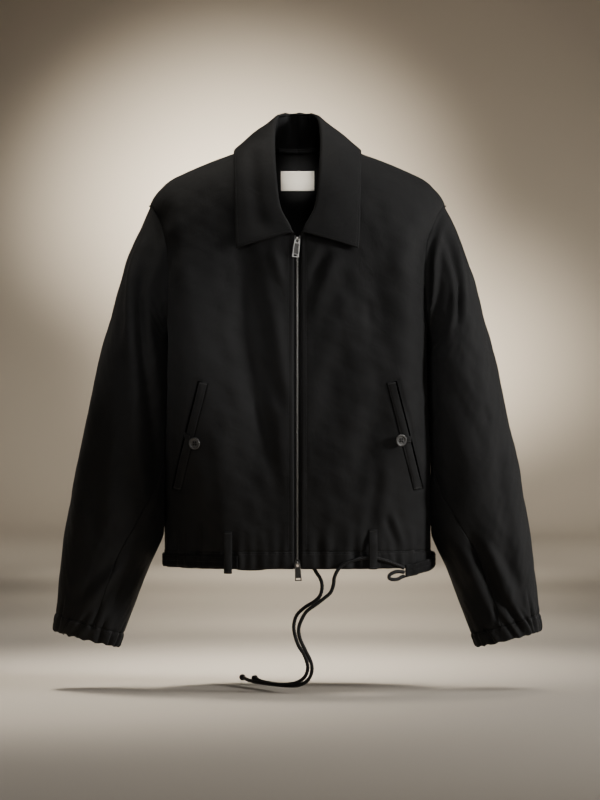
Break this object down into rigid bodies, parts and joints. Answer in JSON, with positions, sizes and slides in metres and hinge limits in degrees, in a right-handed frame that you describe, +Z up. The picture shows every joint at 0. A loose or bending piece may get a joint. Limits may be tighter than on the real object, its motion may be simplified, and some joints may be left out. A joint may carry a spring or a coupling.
{
  "type": "utility jacket",
  "caption": "Waist-length utility jacket with a shirt collar, two-way zip, slanted welt pockets, elastic cuffs and a belted drawcord hem; hollow, filled out with no wearer.",
  "frame": {"origin": "middle of the neck opening, level with the highest points of the shoulder seams, where a wearer's neck carries the jacket", "axes": "+Z up along the centre back, +Y towards the jacket's back, +X towards the wearer's left; the front faces -Y"},
  "size_m": [0.727, 0.2464, 0.8598],
  "materials": {
    "shell_cloth": "near-black midweight cotton twill, slight sheen",
    "belt_cloth": "the shell's twill folded and stitched flat",
    "zip_tape": "matt black woven tape",
    "zip_metal": "silver-toned nickel, lightly polished",
    "button_horn": "dark grey horn-effect, satin polish",
    "label_satin": "ivory woven satin, blank",
    "cord_braid": "black round braid"
  },
  "bodies": {
    "root": {"front_left": "shell_cloth", "front_right": "shell_cloth", "back": "shell_cloth", "hem_casing_left": "shell_cloth", "hem_casing_right": "shell_cloth", "hem_casing_back": "shell_cloth", "sleeve_top_left": "shell_cloth", "sleeve_top_right": "shell_cloth", "sleeve_under_left": "shell_cloth", "sleeve_under_right": "shell_cloth", "cuff_left": "shell_cloth", "cuff_right": "shell_cloth", "collar_fall": "shell_cloth", "collar_stand": "shell_cloth", "pocket_welt_left": "shell_cloth", "pocket_welt_right": "shell_cloth", "pocket_tab_left": "shell_cloth", "pocket_tab_right": "shell_cloth", "hanger_loop": "shell_cloth", "hem_belt": "belt_cloth", "belt_loop_front_left": "belt_cloth", "belt_loop_front_right": "belt_cloth", "belt_loop_back_left": "belt_cloth", "belt_loop_back_right": "belt_cloth", "zip_tape_left": "zip_tape", "zip_tape_right": "zip_tape", "zip_chain": "zip_metal", "slider_top": "zip_metal", "slider_bottom": "zip_metal", "button_left": "button_horn", "button_right": "button_horn", "neck_label": "label_satin", "cord_long": "cord_braid", "cord_short": "cord_braid", "cord_bight": "cord_braid", "cord_knot_long": "cord_braid", "cord_knot_short": "cord_braid"},
    "pull_top": {"pull_tab_top": "zip_metal"},
    "pull_bottom": {"pull_tab_bottom": "zip_metal"}
  },
  "joints": [
    {"name": "pull_top_swing", "type": "hinge", "parent": "root", "child": "pull_top", "pos_m": [0, -0.1209, -0.1392], "axis": [-0.9945, 0, 0.1045], "range_deg": [0, 150]},
    {"name": "pull_bottom_swing", "type": "hinge", "parent": "root", "child": "pull_bottom", "pos_m": [0, -0.12095, -0.614], "axis": [-1, 0, 0], "range_deg": [0, 150]}
  ]
}
